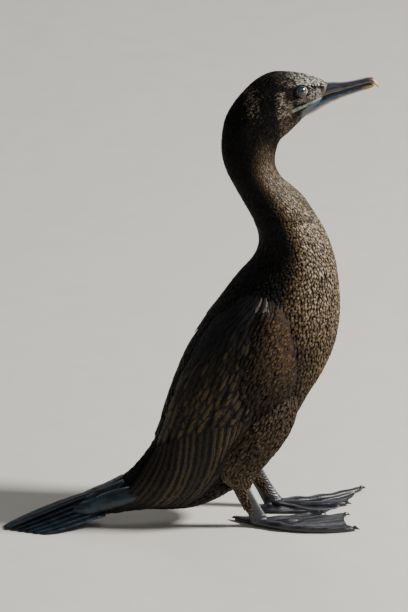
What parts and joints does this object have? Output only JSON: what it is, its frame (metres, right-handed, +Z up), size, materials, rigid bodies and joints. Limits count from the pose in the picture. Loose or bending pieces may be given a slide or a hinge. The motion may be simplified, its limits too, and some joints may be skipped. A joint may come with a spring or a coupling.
{
  "type": "cormorant",
  "caption": "Life-size still model of a small black cormorant standing upright on webbed feet with its neck raised and its stiff tail resting on the ground.",
  "frame": {"origin": "middle of the model's box, at the level of the soles and the tail's tip", "axes": "+X the way the bird faces, +Y to its left, +Z up; the bird stands on the plane z = 0"},
  "size_m": [0.3266, 0.1138, 0.4025],
  "materials": {
    "plumage": "brown-black body feathers with buff-brown tips, soft and matt",
    "wing": "dark olive-bronze feathers with blackish edges and a low sheen",
    "tail": "stiff blue-black feathers, satin",
    "bill": "grey-brown and blue-grey horn, satin",
    "eye": "dark blue-green iris under a clear wet cornea",
    "skin": "black scaly skin with a wet sheen",
    "claw": "black horn"
  },
  "bodies": {
    "root": {"bill_lower": "bill", "bill_upper": "bill", "claw_left_hind": "claw", "claw_left_inner": "claw", "claw_left_middle": "claw", "claw_left_outer": "claw", "claw_right_hind": "claw", "claw_right_inner": "claw", "claw_right_middle": "claw", "claw_right_outer": "claw", "eye_left": "eye", "eye_right": "eye", "foot_left": "skin", "foot_right": "skin", "head": "plumage", "neck_lower": "plumage", "neck_upper": "plumage", "tail": "tail", "tarsus_left": "skin", "tarsus_right": "skin", "thigh_left": "plumage", "thigh_right": "plumage", "torso": "plumage", "wing_left": "wing", "wing_right": "wing"}
  },
  "joints": []
}
